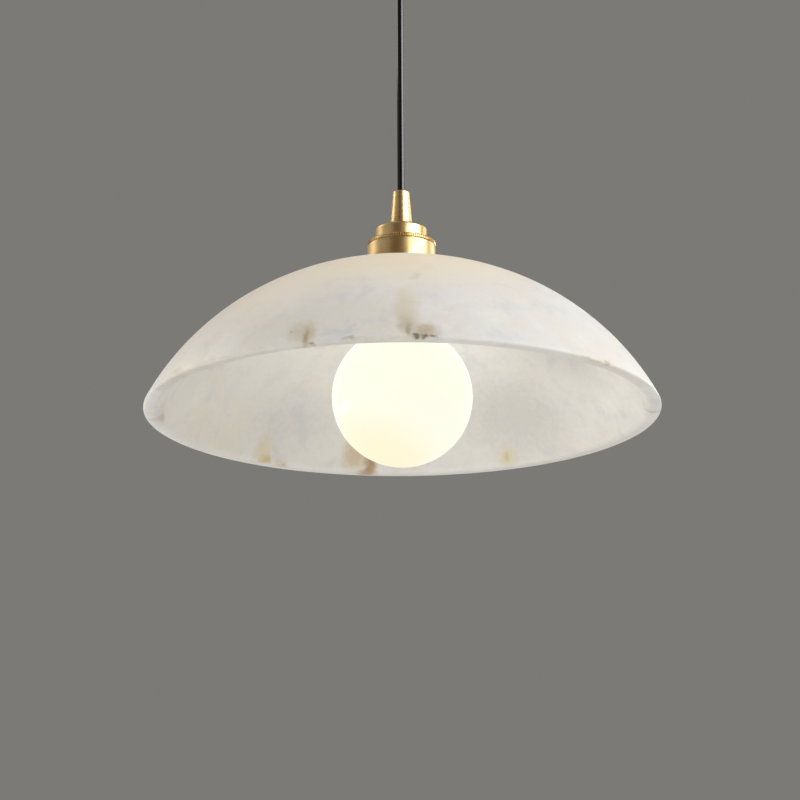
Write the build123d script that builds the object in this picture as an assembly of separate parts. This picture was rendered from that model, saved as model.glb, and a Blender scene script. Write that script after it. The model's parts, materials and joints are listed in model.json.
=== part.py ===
from build123d import *
from math import atan2, cos, degrees, hypot, pi, radians, sin, sqrt, tan
import os

# A pendant light: a domed alabaster shade on brass fittings, hung by a round cord.
# Millimetres. The ceiling is the plane z = 0, and everything hangs below it.

# Drop
exposed_cord = 147.0

# Clearances
past = 1.0  # how far a cut runs past the face it opens
slip = 0.05  # between round pieces of one body
running = 0.1  # between round pieces that turn in each other
free = 0.35  # between pieces that move past each other

# Alabaster shade
rim_radius = 175.0
shade_height = 100.4
shade_wall = 9.3
seat_radius = 24.0
inner_seat_radius = 30.0
stone_bore_radius = 20.5
rim_round_outside = 2.6
rim_round_inside = 2.0

# Cord and its cores
cord_radius = 2.7
core_radius = 0.9
core_circle_radius = 1.25
core_bend_radius = 2.5
earth_bend_radius = 5.0

# Cord grips, one under the canopy and one on the lamp
grip_length = 23.8
grip_tip_radius = 5.55
grip_base_radius = 7.55
grip_tip_round = 0.7
grip_thread_depth = 11.6
jam_nut_height = 2.8
jam_nut_radius = 7.75
jam_nut_teeth = 32
jam_nut_tooth_depth = 0.35
nipple_radius = 4.9
nipple_bore_radius = 3.6
nipple_stand = 0.6
cord_grip_depth = 11.0
tail_gap = 0.6
tail_stand = 0.5
locknut_across_flats = 14.0
locknut_height = 3.0
washer_radius = 8.0
washer_thickness = 0.8
grip_screw_radius = 1.5
grip_screw_length = 3.0
lamp_screw_from_tip = 6.2
ceiling_screw_from_tip = 10.4
hex_key_across_flats = 1.5
hex_key_depth = 1.4

# Swing of the cord in the ceiling grip's mouth
swing_limit = 12.0
pivot_depth = 4.0
bush_ring_radius = 3.75
bush_section_radius = 0.55

# Canopy and ceiling bracket
canopy_radius = 50.0
canopy_height = 25.0
canopy_wall = 1.2
canopy_edge_round = 4.0
canopy_ceiling_gap = 0.5
bracket_end_gap = 2.8  # from the bracket's ends to the canopy's wall
bracket_width = 22.0
bracket_thickness = 2.0
bracket_tab_height = 15.0
mounting_hole_spacing = 70.0
mounting_hole_radius = 2.6
side_screw_radius = 2.0
side_screw_level = -8.5
side_screw_length = 12.0
side_screw_head_radius = 3.6
side_screw_head_height = 4.0
side_screw_teeth = 24
side_screw_tooth_depth = 0.3

# Strain clamp on the cord inside the canopy
clamp_half_width = 7.0
clamp_half_depth = 5.0
clamp_height = 6.0
clamp_screw_radius = 1.2
clamp_screw_offset = 5.0
clamp_screw_head_radius = 2.0
clamp_screw_head_height = 1.4
clamp_split = 0.4

# Terminal block
block_length = 16.0
block_width = 15.0
block_height = 11.0
block_from_axis = 12.0
block_wall = 1.6
terminal_pitch = 7.4
terminal_radius = 2.0
terminal_hole_radius = 1.1
terminal_screw_radius = 1.1
terminal_screw_sink = 0.6
terminal_screw_inset = 3.6
block_screw_radius = 1.2
block_screw_head_radius = 2.2
block_screw_head_height = 1.4
lead_straight = 4.0

# Earth terminal on the bracket
earth_screw_x = -17.0
earth_screw_radius = 2.0
earth_screw_head_radius = 3.6
earth_screw_head_height = 2.4
earth_tag_radius = 4.2
earth_tag_thickness = 0.8
earth_barrel_radius = 1.5
earth_barrel_length = 5.0

# Brass above the stone
cap_radius = 17.6
cap_wall = 0.6
cap_top_thickness = 1.4
cap_height = 10.3
cap_shoulder = 1.8
cap_thread = 4.0
milled_ring_height = 3.0
collar_radius = 23.3
collar_height = 17.9
collar_wall = 1.6
collar_top_thickness = 2.0
collar_teeth = 90
collar_tooth_depth = 0.35
gasket_thickness = 1.0
gasket_inset = 0.3

# Clamping under the stone
clamp_washer_radius = 28.5
clamp_washer_thickness = 1.5
shade_ring_radius = 25.0
shade_ring_height = 6.0
shade_ring_teeth = 72
shade_ring_tooth_depth = 0.4

# Lamp holder
tip_below_cap = 19.5  # from the cap's lower edge down to the bulb's tip
sleeve_radius = 19.5
sleeve_wall = 1.2
sleeve_neck_wall = 1.2
sleeve_lip = 1.0
insert_height = 9.5
insert_bore_radius = 14.8
shell_radius = 13.55
shell_wall = 0.35
shell_wave = 0.35
shell_flange_bore = 6.0
shell_turns = 6
contact_gap = 0.3
contact_travel = 1.0
contact_button_radius = 3.5
contact_button_height = 1.2
contact_stem_radius = 1.7
contact_head_radius = 3.2
contact_head_height = 1.0
contact_strap_thickness = 0.6
holder_terminal_radius = 8.5
holder_terminal_size = 5.4
holder_terminal_height = 5.5
holder_terminal_hole_depth = 3.0
holder_screw_radius = 1.0
holder_screw_stand = 1.2
lead_rise = 3.2
rivet_radius = 1.5
rivet_head_radius = 2.2
rivet_head_height = 0.6

# Bulb with a 27 mm screw cap
globe_radius = 47.5
glass_wall = 1.2
bulb_neck_radius = 14.5
bulb_neck_round = 16.0
bulb_neck_straight = 8.3
bulb_cap_radius = 13.2
bulb_cap_wall = 0.4
bulb_cap_length = 26.5  # from the tip to the glass
bulb_cap_rim_radius = 14.3
bulb_cap_rim_height = 2.0
bulb_cap_rim_bend = 0.7
thread_pitch = 3.629
thread_wave = 0.5
thread_turns = 5
tip_radius = 4.5
tip_height = 1.2
insulator_height = 3.0
insulator_radius = 11.0
led_mount_radius = 12.0
led_mount_height = 20.0
led_mount_flange = 1.2
led_board_radius = 12.6
led_board_thickness = 1.2
led_chip_size = 2.4
led_chip_height = 0.7
led_chip_count = 8
led_chip_circle = 8.6
driver_board_width = 17.0
driver_board_thickness = 1.2
driver_board_height = 17.0
capacitor_radius = 3.6
capacitor_length = 10.0

# Levels, from the ceiling down
canopy_floor = -canopy_height
ceiling_grip_base = canopy_floor - jam_nut_height
ceiling_grip_tip = ceiling_grip_base - grip_length
pivot_level = ceiling_grip_tip + pivot_depth
lamp_grip_tip = ceiling_grip_tip - exposed_cord
lamp_grip_base = lamp_grip_tip - grip_length
cap_top = lamp_grip_base - jam_nut_height
cap_base = cap_top - cap_height
milled_ring_base = cap_base - milled_ring_height
collar_base = milled_ring_base - collar_height
stone_top = collar_base - gasket_thickness
rim_level = stone_top - shade_height
stone_inner_top = stone_top - shade_wall
lower_gasket_base = stone_inner_top - gasket_thickness
clamp_washer_base = lower_gasket_base - clamp_washer_thickness
shade_ring_base = clamp_washer_base - shade_ring_height
bulb_tip_level = cap_base - tip_below_cap
bulb_cap_rim = bulb_tip_level - bulb_cap_length
neck_rise = sqrt((globe_radius + bulb_neck_round) ** 2 - (bulb_neck_radius + bulb_neck_round) ** 2)
globe_centre = bulb_cap_rim - bulb_neck_straight - neck_rise
mount_top = bulb_cap_rim + led_mount_flange
sleeve_mouth = bulb_cap_rim + bulb_cap_rim_height + free
insert_base = bulb_tip_level + contact_gap + contact_button_height + contact_travel + free
insert_top = insert_base + insert_height

# Sizes that follow from others
bracket_length = 2 * (canopy_radius - canopy_wall - bracket_end_gap)
neck_radius = cap_radius - cap_wall - slip  # the sleeve's threaded neck, inside the cap
cord_bore_radius = cord_radius + running
bush_reach = bush_ring_radius + bush_section_radius
bush_seat_radius = bush_reach + free
ceiling_nut_base = canopy_floor + canopy_wall + washer_thickness
ceiling_nipple_top = ceiling_nut_base + locknut_height + nipple_stand
clamp_base = ceiling_nipple_top
clamp_top = clamp_base + clamp_height
tail_top = clamp_top + tail_stand
lamp_nipple_base = cap_top - cap_top_thickness - washer_thickness - locknut_height - nipple_stand
cord_end = lamp_grip_tip - cord_grip_depth
block_centre = block_from_axis + block_length / 2
terminal_level = -bracket_thickness - block_height / 2

parts = {}


def rod(radius, low, high, x=0, y=0):
    """A round bar along z."""
    return Pos(x, y, low) * Cylinder(radius, high - low, align=(Align.CENTER, Align.CENTER, Align.MIN))


def tube(outer, inner, low, high, x=0, y=0):
    """A round bar with a bore along z."""
    return rod(outer, low, high, x, y) - rod(inner, low - past, high + past, x, y)


def cone(low_radius, high_radius, low, high):
    """A taper along z."""
    return Pos(0, 0, low) * Cone(
        low_radius, high_radius, high - low, align=(Align.CENTER, Align.CENTER, Align.MIN)
    )


def block(x_low, x_high, y_low, y_high, z_low, z_high):
    """A box between two corners."""
    centre = Pos((x_low + x_high) / 2, (y_low + y_high) / 2, (z_low + z_high) / 2)
    return centre * Box(x_high - x_low, y_high - y_low, z_high - z_low)


def rod_along_x(radius, x_low, x_high, y, z):
    """A round bar along x."""
    return Pos(x_low, y, z) * Rot(0, 90, 0) * Cylinder(
        radius, x_high - x_low, align=(Align.CENTER, Align.CENTER, Align.MIN)
    )


def rod_along_y(radius, y_low, y_high, z):
    """A round bar along y, crossing the axis."""
    return Pos(0, y_low, z) * Rot(-90, 0, 0) * Cylinder(
        radius, y_high - y_low, align=(Align.CENTER, Align.CENTER, Align.MIN)
    )


def turned(*outline):
    """A solid of revolution from points (radius, z) and curves in the XZ plane."""
    return revolve(make_face(list(outline)), Axis.Z)


def line(*points):
    """Straight runs through points given as (radius, z)."""
    return Polyline(*[(radius, 0, z) for radius, z in points])


def arc(start, through, end):
    """An arc through three points given as (radius, z)."""
    return ThreePointArc(*[(radius, 0, z) for radius, z in (start, through, end)])


def toothed(radius, depth, teeth, low, high, x=0, y=0):
    """A disc with a milled edge."""
    points = []
    for tooth in range(teeth):
        for share, reach in ((0.0, radius), (0.45, radius), (0.6, radius - depth), (0.85, radius - depth)):
            turn = 2 * pi * (tooth + share) / teeth
            points.append((reach * cos(turn), reach * sin(turn)))
    face = make_face(Polyline(*points, close=True))
    return Pos(x, y, low) * extrude(face, high - low)


def hexagon(across_flats, low, high, x=0, y=0):
    """A hexagonal bar along z."""
    face = RegularPolygon(across_flats / 2, 6, major_radius=False)
    return Pos(x, y, low) * extrude(face, high - low)


def core(points, bends):
    """An insulated conductor along straight runs with rounded corners."""
    path = FilletPolyline(*points, radius=bends)
    return sweep(Plane(path @ 0, z_dir=path % 0) * Circle(core_radius), path=path)


def waves(radius, depth, low, turns):
    """A rolled thread's outline: one crest and one hollow for each turn, from low upwards."""
    outline = []
    for turn in range(turns):
        start = low + turn * thread_pitch
        half = start + thread_pitch / 2
        end = start + thread_pitch
        outline.append(arc((radius, start), (radius - depth, start + thread_pitch / 4), (radius, half)))
        outline.append(arc((radius, half), (radius + depth, half + thread_pitch / 4), (radius, end)))
    return outline


def core_start(angle):
    """Where a core lies in the cord's section."""
    return core_circle_radius * cos(radians(angle)), core_circle_radius * sin(radians(angle))


def cord_grip(tip, base, screw_from_tip, bore):
    """The tapered brass grip between two levels, with its thread in the wide end."""
    upwards = base > tip
    low, high = min(tip, base), max(tip, base)
    if upwards:
        body = cone(grip_tip_radius, grip_base_radius, low, high)
        rim = body.edges().sort_by(Axis.Z)[0]
        thread = (base - grip_thread_depth, base + past)
        screw_level = tip + screw_from_tip
    else:
        body = cone(grip_base_radius, grip_tip_radius, low, high)
        rim = body.edges().sort_by(Axis.Z)[-1]
        thread = (base - past, base + grip_thread_depth)
        screw_level = tip - screw_from_tip
    body = fillet(rim, grip_tip_round)
    body -= rod(nipple_radius + slip, *thread)
    body -= rod_along_y(grip_screw_radius + slip, 0, grip_base_radius + past, screw_level)
    return body - bore, grip_screw(screw_level)


def grip_screw(level):
    """A grub screw in the grip's wall, just short of the cord."""
    start = cord_bore_radius + running
    screw = rod_along_y(grip_screw_radius, start, start + grip_screw_length, level)
    key = extrude(RegularPolygon(hex_key_across_flats / 2, 6, major_radius=False), hex_key_depth)
    return screw - Pos(0, start + grip_screw_length - hex_key_depth, level) * Rot(-90, 0, 0) * key


def jam_nut(low, high):
    """A thin round nut with a milled edge."""
    nut = toothed(jam_nut_radius, jam_nut_tooth_depth, jam_nut_teeth, low, high)
    return nut - rod(nipple_radius + slip, low - past, high + past)


def locknut(low):
    """A hexagon nut on the hollow rod."""
    nut = hexagon(locknut_across_flats, low, low + locknut_height)
    return nut - rod(nipple_radius + slip, low - past, low + locknut_height + past)


def make_bracket():
    half = bracket_length / 2
    wide = bracket_width / 2
    below = -bracket_thickness - past
    strap = block(-half, half, -wide, wide, -bracket_thickness, 0)
    for side in (-1, 1):
        outer = side * half
        inner = side * (half - bracket_thickness)
        low, high = min(outer, inner), max(outer, inner)
        strap += block(low, high, -wide, wide, -bracket_tab_height, 0)
        strap -= rod_along_x(side_screw_radius + slip, low - past, high + past, 0, side_screw_level)
        strap -= rod(mounting_hole_radius, below, past, side * mounting_hole_spacing / 2)
    strap -= rod(earth_screw_radius + slip, below, past, earth_screw_x)
    strap -= rod(block_screw_radius + slip, below, past, block_centre)
    parts["ceiling_bracket"] = strap


def make_canopy():
    cup = rod(canopy_radius, canopy_floor, -canopy_ceiling_gap)
    cup = fillet(cup.edges().sort_by(Axis.Z)[0], canopy_edge_round)
    hollow = rod(canopy_radius - canopy_wall, canopy_floor + canopy_wall, past)
    hollow = fillet(hollow.edges().sort_by(Axis.Z)[0], canopy_edge_round - canopy_wall)
    cup -= hollow
    cup -= rod(nipple_radius + slip, canopy_floor - past, canopy_floor + canopy_wall + past)
    reach = canopy_radius + past
    cup -= rod_along_x(side_screw_radius + slip, -reach, reach, 0, side_screw_level)
    parts["canopy"] = cup

    shank = rod_along_x(
        side_screw_radius, canopy_radius - side_screw_length, canopy_radius, 0, side_screw_level
    )
    head = toothed(
        side_screw_head_radius, side_screw_tooth_depth, side_screw_teeth, 0, side_screw_head_height
    )
    screw = shank + Pos(canopy_radius, 0, side_screw_level) * Rot(0, 90, 0) * head
    parts["canopy_screws"] = Compound([screw, Rot(0, 0, 180) * screw])


def make_ceiling_grip():
    floor_top = canopy_floor + canopy_wall
    parts["ceiling_washer"] = tube(washer_radius, nipple_radius + slip, floor_top, ceiling_nut_base)
    parts["ceiling_locknut"] = locknut(ceiling_nut_base)
    thread_end = ceiling_grip_base - grip_thread_depth
    parts["ceiling_nipple"] = tube(nipple_radius, nipple_bore_radius, thread_end, ceiling_nipple_top)
    parts["ceiling_jam_nut"] = jam_nut(ceiling_grip_base, canopy_floor)

    # The mouth flares so that the cord can lean, and holds the rubber bush in a round seat.
    one_way = tan(radians(swing_limit))
    lean = atan2(hypot(one_way, one_way), 1)
    throat = cord_radius / cos(lean) + free
    mouth = throat + (pivot_depth + past) * tan(lean)
    bore = rod(cord_radius + slip, pivot_level, ceiling_grip_base)
    bore += Pos(0, 0, pivot_level) * Sphere(bush_seat_radius)
    bore += cone(mouth, throat, ceiling_grip_tip - past, pivot_level)
    grip, screw = cord_grip(ceiling_grip_tip, ceiling_grip_base, ceiling_screw_from_tip, bore)
    parts["ceiling_cord_grip"] = grip
    parts["ceiling_grip_screw"] = screw
    parts["cord_bush"] = Pos(0, 0, pivot_level) * Torus(bush_ring_radius, bush_section_radius)
    parts["cord_tail"] = rod(cord_radius, pivot_level + cord_radius + tail_gap, tail_top)


def make_strain_clamp():
    halves = []
    screws = []
    for side in (-1, 1):
        near, far = side * clamp_split / 2, side * clamp_half_depth
        half = block(
            -clamp_half_width, clamp_half_width, min(near, far), max(near, far), clamp_base, clamp_top
        )
        half -= rod(cord_radius + slip, clamp_base - past, clamp_top + past)
        for place in (-clamp_screw_offset, clamp_screw_offset):
            half -= clamp_screw_hole(place)
        halves.append(half)
    for place in (-clamp_screw_offset, clamp_screw_offset):
        shank = clamp_screw_shank(place, clamp_screw_radius, -clamp_half_depth, clamp_half_depth)
        head = clamp_screw_shank(
            place, clamp_screw_head_radius, clamp_half_depth, clamp_half_depth + clamp_screw_head_height
        )
        screws.append(shank + head)
    parts["strain_clamp"] = Compound(halves)
    parts["strain_clamp_screws"] = Compound(screws)


def clamp_screw_shank(x, radius, y_low, y_high):
    """A round bar across the strain clamp."""
    return Pos(x, 0, 0) * rod_along_y(radius, y_low, y_high, (clamp_base + clamp_top) / 2)


def clamp_screw_hole(x):
    reach = clamp_half_depth + past
    return clamp_screw_shank(x, clamp_screw_radius + slip, -reach, reach)


def make_terminal_block():
    x_low, x_high = block_from_axis, block_from_axis + block_length
    top = -bracket_thickness
    housing = block(x_low, x_high, -block_width / 2, block_width / 2, top - block_height, top)
    housing -= rod(block_screw_radius + slip, top - block_height - past, top + past, block_centre)
    tubes = []
    screws = []
    for side in (-1, 1):
        y = side * terminal_pitch / 2
        housing -= rod_along_x(terminal_radius + slip, x_low - past, x_high + past, y, terminal_level)
        insert = rod_along_x(terminal_radius, x_low + block_wall, x_high - block_wall, y, terminal_level)
        insert -= rod_along_x(terminal_hole_radius, x_low, x_high, y, terminal_level)
        for x in (x_low + terminal_screw_inset, x_high - terminal_screw_inset):
            screw_low = top - block_height
            screw_high = terminal_level - core_radius - slip
            housing -= rod(terminal_screw_radius + slip, screw_low - past, terminal_level, x, y)
            insert -= rod(terminal_screw_radius + slip, screw_low - past, terminal_level, x, y)
            screws.append(rod(terminal_screw_radius, screw_low + terminal_screw_sink, screw_high, x, y))
        tubes.append(insert)
    parts["terminal_block"] = housing
    parts["terminal_tubes"] = Compound(tubes)
    parts["terminal_screws"] = Compound(screws)
    fixing_low = top - block_height
    fixing = rod(block_screw_radius, fixing_low, 0, block_centre)
    fixing += rod(block_screw_head_radius, fixing_low - block_screw_head_height, fixing_low, block_centre)
    parts["block_screw"] = fixing


def make_ceiling_leads():
    for name, angle, side in (("ceiling_live_lead", 60, 1), ("ceiling_neutral_lead", -60, -1)):
        x, y = core_start(angle)
        way = side * terminal_pitch / 2
        parts[name] = core(
            [
                (x, y, tail_top),
                (x, y, terminal_level),
                (block_from_axis - lead_straight, way, terminal_level),
                (block_from_axis + terminal_screw_inset + 2 * terminal_screw_radius, way, terminal_level),
            ],
            [core_bend_radius, core_bend_radius],
        )
    x, y = core_start(180)
    underside = -bracket_thickness
    barrel_level = underside - earth_barrel_radius - slip
    barrel_end = earth_screw_x + earth_tag_radius + earth_barrel_length
    head_top = underside - earth_tag_thickness
    core_stop = barrel_end - earth_barrel_length / 2
    tag = tube(earth_tag_radius, earth_screw_radius + slip, head_top, underside, earth_screw_x)
    barrel = rod_along_x(earth_barrel_radius, barrel_end - earth_barrel_length, barrel_end, 0, barrel_level)
    neck_start = earth_screw_x + earth_screw_head_radius + slip
    neck = block(neck_start, barrel_end, -earth_barrel_radius, earth_barrel_radius, head_top, underside)
    grip = rod_along_x(core_radius + slip, core_stop, barrel_end + past, 0, barrel_level)
    parts["earth_tag"] = tag + neck + barrel - grip
    parts["ceiling_earth_lead"] = core(
        [(x, y, tail_top), (x, y, barrel_level), (core_stop, y, barrel_level)], [earth_bend_radius]
    )
    screw = rod(earth_screw_radius, head_top, 0, earth_screw_x)
    screw += rod(earth_screw_head_radius, head_top - earth_screw_head_height, head_top, earth_screw_x)
    parts["earth_screw"] = screw


def make_cord():
    straight = rod(cord_radius, cord_end, pivot_level)
    parts["pendant_cord"] = straight + Pos(0, 0, pivot_level) * Sphere(cord_radius)


def make_lamp_grip():
    bore = rod(cord_bore_radius, lamp_grip_base, lamp_grip_tip + past)
    grip, screw = cord_grip(lamp_grip_tip, lamp_grip_base, lamp_screw_from_tip, bore)
    parts["lamp_cord_grip"] = grip
    parts["lamp_grip_screw"] = screw
    parts["lamp_jam_nut"] = jam_nut(cap_top, lamp_grip_base)
    under_top = cap_top - cap_top_thickness
    nut_top = under_top - washer_thickness
    parts["lamp_washer"] = tube(washer_radius, nipple_radius + slip, nut_top, under_top)
    parts["lamp_locknut"] = locknut(nut_top - locknut_height)
    parts["lamp_nipple"] = tube(
        nipple_radius, nipple_bore_radius, lamp_nipple_base, lamp_grip_base + grip_thread_depth
    )


def make_cap_and_collar():
    cap = rod(cap_radius, cap_base, cap_top)
    cap = fillet(cap.edges().sort_by(Axis.Z)[-1], cap_shoulder)
    inner = cap_radius - cap_wall
    shoulder_base = cap_top - cap_shoulder
    under_top = cap_top - cap_top_thickness
    cap -= rod(inner, cap_base - past, shoulder_base)
    cap -= cone(inner, inner - (under_top - shoulder_base), shoulder_base, under_top)
    cap -= rod(nipple_radius + slip, cap_base, cap_top + past)
    parts["holder_cap"] = cap

    ring = toothed(collar_radius, collar_tooth_depth, collar_teeth, milled_ring_base, cap_base)
    parts["milled_ring"] = ring - rod(neck_radius + slip, milled_ring_base - past, cap_base + past)

    cup = rod(collar_radius, collar_base, milled_ring_base)
    cup -= rod(collar_radius - collar_wall, collar_base - past, milled_ring_base - collar_top_thickness)
    cup -= rod(neck_radius + slip, collar_base, milled_ring_base + past)
    parts["collar"] = cup
    parts["top_gasket"] = tube(collar_radius - gasket_inset, stone_bore_radius, stone_top, collar_base)


def make_shade():
    # The crown's arc is centred off the axis by half the seat, so that the seat's two edges are level.
    off_axis = seat_radius / 2
    seat_reach, rim_reach = seat_radius - off_axis, rim_radius - off_axis
    centre = (seat_reach**2 + shade_height**2 - rim_reach**2) / (2 * shade_height)
    outer = hypot(rim_reach, centre)
    inner = outer - shade_wall
    inner_rim = off_axis + sqrt(inner**2 - centre**2)
    inner_seat = centre + sqrt(inner**2 - (inner_seat_radius - off_axis) ** 2)

    def on(radius, turn):
        angle = radians(turn)
        return off_axis + radius * cos(angle), rim_level + centre + radius * sin(angle)

    outer_low = degrees(atan2(-centre, rim_reach))
    outer_high = degrees(atan2(shade_height - centre, seat_reach))
    inner_low = degrees(atan2(-centre, inner_rim - off_axis))
    inner_high = degrees(atan2(inner_seat - centre, inner_seat_radius - off_axis))
    bore_top, bore_base = (stone_bore_radius, stone_top), (stone_bore_radius, stone_inner_top)
    seat_edge, spot_edge = (seat_radius, stone_top), (inner_seat_radius, stone_inner_top)
    rim_outside, rim_inside = (rim_radius, rim_level), (inner_rim, rim_level)
    inner_end = on(inner, inner_high)
    stone = turned(
        line(bore_base, bore_top, seat_edge),
        arc(seat_edge, on(outer, (outer_low + outer_high) / 2), rim_outside),
        line(rim_outside, rim_inside),
        arc(rim_inside, on(inner, (inner_low + inner_high) / 2), inner_end),
        line(inner_end, spot_edge, bore_base),
    )
    rim_edges = stone.edges().filter_by(GeomType.CIRCLE).group_by(Axis.Z)[0].sort_by(SortBy.RADIUS)
    stone = fillet(rim_edges[-1], rim_round_outside)
    rim_edges = stone.edges().filter_by(GeomType.CIRCLE).group_by(Axis.Z)[0].sort_by(SortBy.RADIUS)
    stone = fillet(rim_edges[0], rim_round_inside)
    parts["alabaster_shade"] = stone


def make_lower_clamp():
    parts["bottom_gasket"] = tube(
        clamp_washer_radius - gasket_inset, stone_bore_radius, lower_gasket_base, stone_inner_top
    )
    parts["clamp_washer"] = tube(
        clamp_washer_radius, sleeve_radius + slip, clamp_washer_base, lower_gasket_base
    )
    ring = toothed(
        shade_ring_radius, shade_ring_tooth_depth, shade_ring_teeth, shade_ring_base, clamp_washer_base
    )
    ring -= rod(sleeve_radius + slip, shade_ring_base - past, clamp_washer_base + past)
    parts["shade_ring"] = ring


def make_holder():
    shoulder_top = milled_ring_base - collar_top_thickness
    shoulder_base = shoulder_top - sleeve_wall
    inside = sleeve_radius - sleeve_wall
    sleeve = rod(sleeve_radius, sleeve_mouth, shoulder_top)
    sleeve += rod(neck_radius, shoulder_top, cap_base + cap_thread)
    sleeve -= rod(inside, sleeve_mouth + sleeve_lip, shoulder_base)
    sleeve -= rod(insert_bore_radius, sleeve_mouth - past, sleeve_mouth + sleeve_lip + past)
    sleeve -= rod(neck_radius - sleeve_neck_wall, shoulder_base - past, cap_base + cap_thread + past)
    parts["holder_sleeve"] = sleeve

    insert = rod(inside - slip, sleeve_mouth + sleeve_lip, insert_top)
    insert -= rod(insert_bore_radius, sleeve_mouth, insert_base)
    insert -= rod(contact_stem_radius + free, insert_base - past, insert_top + past)
    insert -= rod(rivet_radius + slip, insert_base - past, insert_top + past, -holder_terminal_radius)
    parts["holder_insert"] = insert

    shell_top = insert_base
    shell_low = shell_top - shell_wall - shell_turns * thread_pitch
    middle = shell_radius + shell_wave
    inner_waves = waves(middle, shell_wave, shell_low, shell_turns)
    outer_waves = waves(middle + shell_wall, shell_wave, shell_low, shell_turns)
    flange_base = shell_top - shell_wall
    outside = middle + shell_wall
    shell = turned(
        line((outside, shell_low), (middle, shell_low)),
        *inner_waves,
        line(
            (middle, flange_base), (shell_flange_bore, flange_base), (shell_flange_bore, shell_top),
            (outside, shell_top), (outside, flange_base)
        ),
        *outer_waves,
    )
    shell -= rod(rivet_radius + slip, flange_base - past, shell_top + past, -holder_terminal_radius)
    parts["screw_shell"] = shell

    rivet = rod(rivet_radius, flange_base, insert_top, -holder_terminal_radius)
    rivet += rod(rivet_head_radius, flange_base - rivet_head_height, flange_base, -holder_terminal_radius)
    parts["neutral_rivet"] = rivet
    make_holder_terminals()


def make_holder_terminals():
    half = holder_terminal_size / 2
    top = insert_top + holder_terminal_height
    screws = []
    names = (("live_terminal", 0), ("neutral_terminal", 180), ("earth_terminal", 270))
    for name, angle in names:
        terminal = block(
            holder_terminal_radius - half, holder_terminal_radius + half, -half, half, insert_top, top
        )
        terminal -= rod(
            core_radius + slip, top - holder_terminal_hole_depth, top + past, holder_terminal_radius
        )
        screw_level = top - holder_terminal_hole_depth / 2
        screw_end = holder_terminal_radius + core_radius + 2 * slip
        screw_reach = holder_terminal_radius + half + holder_screw_stand
        terminal -= rod_along_x(
            holder_screw_radius + slip, holder_terminal_radius, screw_reach + past, 0, screw_level
        )
        screw = rod_along_x(holder_screw_radius, screw_end, screw_reach, 0, screw_level)
        if name == "live_terminal":
            strap_top = insert_top + contact_strap_thickness
            strap = block(0, holder_terminal_radius, -half, half, insert_top, strap_top)
            strap += rod(contact_head_radius, insert_top, strap_top)
            strap -= rod(contact_stem_radius + free, insert_top - past, strap_top + past)
            terminal += strap
        parts[name] = Rot(0, 0, angle) * terminal
        screws.append(Rot(0, 0, angle) * screw)
    parts["holder_terminal_screws"] = Compound(screws)

    button_base = bulb_tip_level + contact_gap
    button = rod(contact_button_radius, button_base, button_base + contact_button_height)
    head_base = insert_top + contact_strap_thickness + free
    button += rod(contact_stem_radius, button_base, head_base)
    button += rod(contact_head_radius, head_base, head_base + contact_head_height)
    parts["centre_contact"] = button


def make_lamp_leads():
    bend_level = insert_top + holder_terminal_height + lead_rise
    lead_end = insert_top + holder_terminal_height - holder_terminal_hole_depth
    for name, start, place in (
        ("lamp_live_lead", 0, 0), ("lamp_neutral_lead", 135, 180), ("lamp_earth_lead", 248, 270)
    ):
        x, y = core_start(start)
        end_x = holder_terminal_radius * cos(radians(place))
        end_y = holder_terminal_radius * sin(radians(place))
        parts[name] = core(
            [
                (x, y, cord_end - contact_gap), (x, y, bend_level), (end_x, end_y, bend_level),
                (end_x, end_y, lead_end),
            ],
            [core_bend_radius, core_bend_radius],
        )


def make_bulb():
    # Glass: a globe that runs through a hollow curve into a straight neck.
    def glass_outline(radius, neck, hollow):
        centre_radius = neck + hollow
        join_radius = radius * centre_radius / (radius + hollow)
        join_level = globe_centre + radius * neck_rise / (radius + hollow)
        hollow_centre = globe_centre + neck_rise
        turn = (atan2(-neck_rise, -centre_radius) + 2 * pi + pi) / 2
        middle = (centre_radius + hollow * cos(turn), hollow_centre + hollow * sin(turn))
        return (join_radius, join_level), middle, (neck, hollow_centre)

    low = globe_centre - globe_radius
    join, middle, neck_start = glass_outline(globe_radius, bulb_neck_radius, bulb_neck_round)
    outer = turned(
        arc((0, low), (globe_radius, globe_centre), join),
        arc(join, middle, neck_start),
        line(neck_start, (bulb_neck_radius, bulb_cap_rim), (0, bulb_cap_rim), (0, low)),
    )
    inner_radius = globe_radius - glass_wall
    inner_neck = bulb_neck_radius - glass_wall
    open_top = bulb_cap_rim + past
    join, middle, neck_start = glass_outline(inner_radius, inner_neck, bulb_neck_round + glass_wall)
    hollow = turned(
        arc((0, low + glass_wall), (inner_radius, globe_centre), join),
        arc(join, middle, neck_start),
        line(neck_start, (inner_neck, open_top), (0, open_top), (0, low + glass_wall)),
    )
    parts["bulb_globe"] = outer - hollow
    make_bulb_cap()
    make_bulb_inside()


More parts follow.
